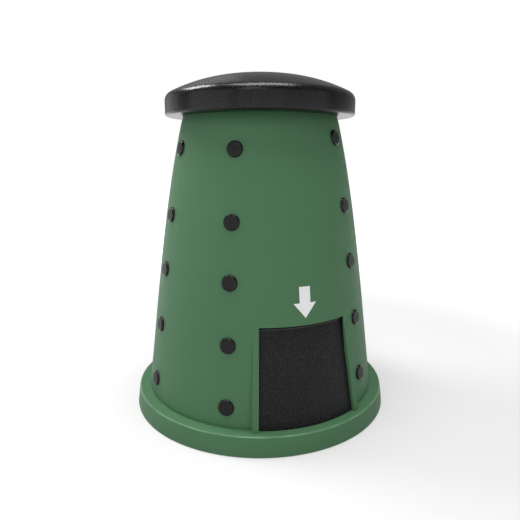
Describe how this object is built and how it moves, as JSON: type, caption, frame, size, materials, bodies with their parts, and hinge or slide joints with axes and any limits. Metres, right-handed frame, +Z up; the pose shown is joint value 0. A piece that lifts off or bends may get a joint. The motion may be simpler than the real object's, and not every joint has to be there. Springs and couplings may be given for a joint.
{
  "type": "compost bin",
  "caption": "Tall conical garden compost bin with side vent plugs, a sliding hatch at the foot, a round base tray and a domed lift-off lid.",
  "frame": {"origin": "on the ground at the centre of the base tray's underside", "axes": "+Z up, -Y towards the hatch at the front, +X to the right of someone who faces the hatch"},
  "size_m": [0.7458, 0.7458, 0.9352],
  "materials": {
    "green_shell": "satin green polyethylene, as moulded",
    "black_panel": "grained black plastic",
    "black_lid": "finely grained black plastic with a soft gloss",
    "black_plug": "smooth black plastic with a soft gloss"
  },
  "bodies": {
    "bin": {"body_shell": "green_shell", "base_tray": "green_shell", "hatch_guide_left": "green_shell", "hatch_guide_right": "green_shell", "vent_plug_left_1a": "black_plug", "vent_plug_left_1b": "black_plug", "vent_plug_left_1c": "black_plug", "vent_plug_left_1d": "black_plug", "vent_plug_left_1e": "black_plug", "vent_plug_left_2a": "black_plug", "vent_plug_left_2b": "black_plug", "vent_plug_left_2c": "black_plug", "vent_plug_left_2d": "black_plug", "vent_plug_left_2e": "black_plug", "vent_plug_left_3a": "black_plug", "vent_plug_left_3b": "black_plug", "vent_plug_left_3c": "black_plug", "vent_plug_left_3d": "black_plug", "vent_plug_left_3e": "black_plug", "vent_plug_left_4a": "black_plug", "vent_plug_left_4b": "black_plug", "vent_plug_left_4c": "black_plug", "vent_plug_left_4d": "black_plug", "vent_plug_left_4e": "black_plug", "vent_plug_right_1a": "black_plug", "vent_plug_right_1b": "black_plug", "vent_plug_right_1c": "black_plug", "vent_plug_right_1d": "black_plug", "vent_plug_right_1e": "black_plug", "vent_plug_right_2a": "black_plug", "vent_plug_right_2b": "black_plug", "vent_plug_right_2c": "black_plug", "vent_plug_right_2d": "black_plug", "vent_plug_right_2e": "black_plug", "vent_plug_right_3a": "black_plug", "vent_plug_right_3b": "black_plug", "vent_plug_right_3c": "black_plug", "vent_plug_right_3d": "black_plug", "vent_plug_right_3e": "black_plug"},
    "hatch": {"hatch_panel": "black_panel"},
    "lid": {"lid": "black_lid"}
  },
  "joints": [
    {"name": "hatch_slide", "type": "slide", "parent": "bin", "child": "hatch", "axis": [0, 0.1958, 0.9806], "range_m": [0, 0.2]},
    {"name": "lid_lift", "type": "slide", "parent": "bin", "child": "lid", "axis": [0, 0, 1], "range_m": [0, 0.25]}
  ]
}
